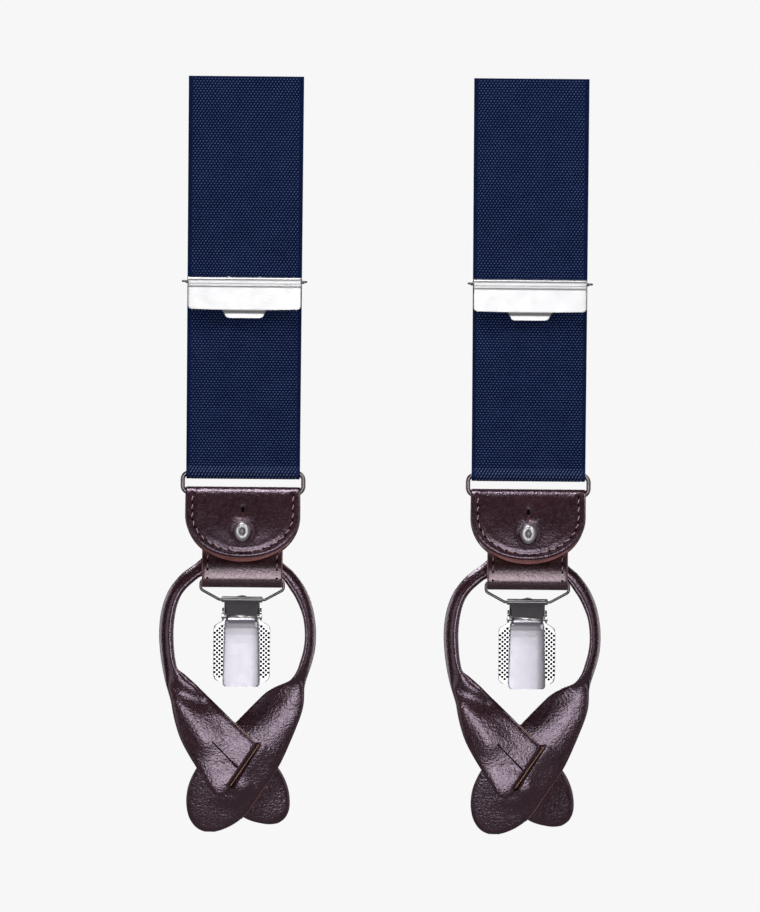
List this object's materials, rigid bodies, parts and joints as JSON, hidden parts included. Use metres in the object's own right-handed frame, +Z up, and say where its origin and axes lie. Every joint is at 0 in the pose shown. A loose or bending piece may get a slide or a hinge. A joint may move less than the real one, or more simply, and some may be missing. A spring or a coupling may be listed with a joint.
{
  "type": "suspenders",
  "caption": "Navy elastic suspender straps with adjusters, rings, stitched leather tabs on ball studs, flip clips and slit leather button loops.",
  "frame": {"origin": "midpoint between the two cut webbing ends, at mid thickness of the webbing", "axes": "+Z up along the hanging straps, -Y towards the viewer in front of the wearer, +X towards the right strap seen from the front"},
  "size_m": [0.1348, 0.0174, 0.2307],
  "materials": {
    "navy_webbing": "woven",
    "navy_thread": "matte",
    "nickel": "polished",
    "spring_steel": "satin",
    "brown_leather": "waxed",
    "leather_lining": "raw",
    "tan_thread": "waxed thread",
    "black_rubber": "matte"
  },
  "bodies": {
    "straps": {"left_webbing": "navy_webbing", "left_webbing_fold": "navy_webbing", "left_webbing_return": "navy_webbing", "right_webbing": "navy_webbing", "right_webbing_fold": "navy_webbing", "right_webbing_return": "navy_webbing"},
    "left_adjuster": {"left_webbing_end": "navy_webbing", "left_webbing_stitching": "navy_thread", "left_adjuster_frame": "nickel", "left_adjuster_pin": "nickel"},
    "left_adjuster_lever": {"left_adjuster_cover": "nickel", "left_adjuster_teeth": "nickel"},
    "left_ring": {"left_strap_ring": "nickel"},
    "left_tab": {"left_tab_back": "brown_leather", "left_stud": "nickel", "left_stud_base": "nickel", "left_clip_tab": "brown_leather", "left_clip_tab_stitching": "tan_thread", "left_loop_head": "brown_leather"},
    "left_flap": {"left_tab_flap": "brown_leather", "left_flap_lining": "leather_lining", "left_flap_stitching": "tan_thread"},
    "left_loop": {"left_loop_cord": "brown_leather", "left_loop_left_paddle": "brown_leather", "left_loop_right_paddle": "brown_leather"},
    "left_wire": {"left_clip_wire": "nickel"},
    "left_clip": {"left_clip_body": "nickel", "left_clip_pin": "nickel", "left_clip_rear_pad": "black_rubber", "left_clip_spring": "spring_steel"},
    "left_clip_jaw": {"left_clip_jaw": "nickel", "left_clip_front_pad": "black_rubber"},
    "left_clip_lever": {"left_clip_lever": "nickel"},
    "right_adjuster": {"right_webbing_end": "navy_webbing", "right_webbing_stitching": "navy_thread", "right_adjuster_frame": "nickel", "right_adjuster_pin": "nickel"},
    "right_adjuster_lever": {"right_adjuster_cover": "nickel", "right_adjuster_teeth": "nickel"},
    "right_ring": {"right_strap_ring": "nickel"},
    "right_tab": {"right_tab_back": "brown_leather", "right_stud": "nickel", "right_stud_base": "nickel", "right_clip_tab": "brown_leather", "right_clip_tab_stitching": "tan_thread", "right_loop_head": "brown_leather"},
    "right_flap": {"right_tab_flap": "brown_leather", "right_flap_lining": "leather_lining", "right_flap_stitching": "tan_thread"},
    "right_loop": {"right_loop_cord": "brown_leather", "right_loop_left_paddle": "brown_leather", "right_loop_right_paddle": "brown_leather"},
    "right_wire": {"right_clip_wire": "nickel"},
    "right_clip": {"right_clip_body": "nickel", "right_clip_pin": "nickel", "right_clip_rear_pad": "black_rubber", "right_clip_spring": "spring_steel"},
    "right_clip_jaw": {"right_clip_jaw": "nickel", "right_clip_front_pad": "black_rubber"},
    "right_clip_lever": {"right_clip_lever": "nickel"}
  },
  "joints": [
    {"name": "left_adjuster_slide", "type": "slide", "parent": "straps", "child": "left_adjuster", "axis": [0, 0, 1], "range_m": [-0.028, 0.045], "deforming": ["left_webbing_return"]},
    {"name": "left_adjuster_open", "type": "hinge", "parent": "left_adjuster", "child": "left_adjuster_lever", "pos_m": [-0.04342, -0.0023, -0.0625], "axis": [-1, 0, 0], "range_deg": [0, 105]},
    {"name": "left_ring_swing", "type": "hinge", "parent": "straps", "child": "left_ring", "pos_m": [-0.04342, 0.00145, -0.1205], "axis": [1, 0, 0], "range_deg": [-60, 60]},
    {"name": "left_tab_swing", "type": "hinge", "parent": "left_ring", "child": "left_tab", "pos_m": [-0.04342, 0.00145, -0.1269], "axis": [1, 0, 0], "range_deg": [-60, 60]},
    {"name": "left_flap_open", "type": "hinge", "parent": "left_tab", "child": "left_flap", "pos_m": [-0.04342, -0.00065, -0.128], "axis": [-1, 0, 0], "range_deg": [0, 100]},
    {"name": "left_loop_swing", "type": "hinge", "parent": "left_tab", "child": "left_loop", "pos_m": [-0.04342, 0.0056, -0.1503], "axis": [1, 0, 0], "range_deg": [-40, 60]},
    {"name": "left_wire_swing", "type": "hinge", "parent": "left_tab", "child": "left_wire", "pos_m": [-0.04342, 0.0014, -0.1532], "axis": [1, 0, 0], "range_deg": [-50, 50]},
    {"name": "left_clip_swing", "type": "hinge", "parent": "left_wire", "child": "left_clip", "pos_m": [-0.04342, 0.0014, -0.1593], "axis": [1, 0, 0], "range_deg": [-60, 60]},
    {"name": "left_lever_open", "type": "hinge", "parent": "left_clip", "child": "left_clip_lever", "pos_m": [-0.04342, -0.0009, -0.1645], "axis": [-1, 0, 0], "range_deg": [0, 110]},
    {"name": "left_jaw_open", "type": "hinge", "parent": "left_clip", "child": "left_clip_jaw", "pos_m": [-0.04342, 0.0006, -0.1662], "axis": [-1, 0, 0], "range_deg": [0, 13.2]},
    {"name": "right_adjuster_slide", "type": "slide", "parent": "straps", "child": "right_adjuster", "axis": [0, 0, 1], "range_m": [-0.028, 0.045], "deforming": ["right_webbing_return"]},
    {"name": "right_adjuster_open", "type": "hinge", "parent": "right_adjuster", "child": "right_adjuster_lever", "pos_m": [0.04342, -0.0023, -0.0625], "axis": [-1, 0, 0], "range_deg": [0, 105]},
    {"name": "right_ring_swing", "type": "hinge", "parent": "straps", "child": "right_ring", "pos_m": [0.04342, 0.00145, -0.1205], "axis": [1, 0, 0], "range_deg": [-60, 60]},
    {"name": "right_tab_swing", "type": "hinge", "parent": "right_ring", "child": "right_tab", "pos_m": [0.04342, 0.00145, -0.1269], "axis": [1, 0, 0], "range_deg": [-60, 60]},
    {"name": "right_flap_open", "type": "hinge", "parent": "right_tab", "child": "right_flap", "pos_m": [0.04342, -0.00065, -0.128], "axis": [-1, 0, 0], "range_deg": [0, 100]},
    {"name": "right_loop_swing", "type": "hinge", "parent": "right_tab", "child": "right_loop", "pos_m": [0.04342, 0.0056, -0.1503], "axis": [1, 0, 0], "range_deg": [-40, 60]},
    {"name": "right_wire_swing", "type": "hinge", "parent": "right_tab", "child": "right_wire", "pos_m": [0.04342, 0.0014, -0.1532], "axis": [1, 0, 0], "range_deg": [-50, 50]},
    {"name": "right_clip_swing", "type": "hinge", "parent": "right_wire", "child": "right_clip", "pos_m": [0.04342, 0.0014, -0.1593], "axis": [1, 0, 0], "range_deg": [-60, 60]},
    {"name": "right_lever_open", "type": "hinge", "parent": "right_clip", "child": "right_clip_lever", "pos_m": [0.04342, -0.0009, -0.1645], "axis": [-1, 0, 0], "range_deg": [0, 110]},
    {"name": "right_jaw_open", "type": "hinge", "parent": "right_clip", "child": "right_clip_jaw", "pos_m": [0.04342, 0.0006, -0.1662], "axis": [-1, 0, 0], "range_deg": [0, 13.2]}
  ],
  "couplings": [
    {"joint": "left_jaw_open", "follows": "left_lever_open", "ratio": 0.12},
    {"joint": "right_jaw_open", "follows": "right_lever_open", "ratio": 0.12}
  ]
}
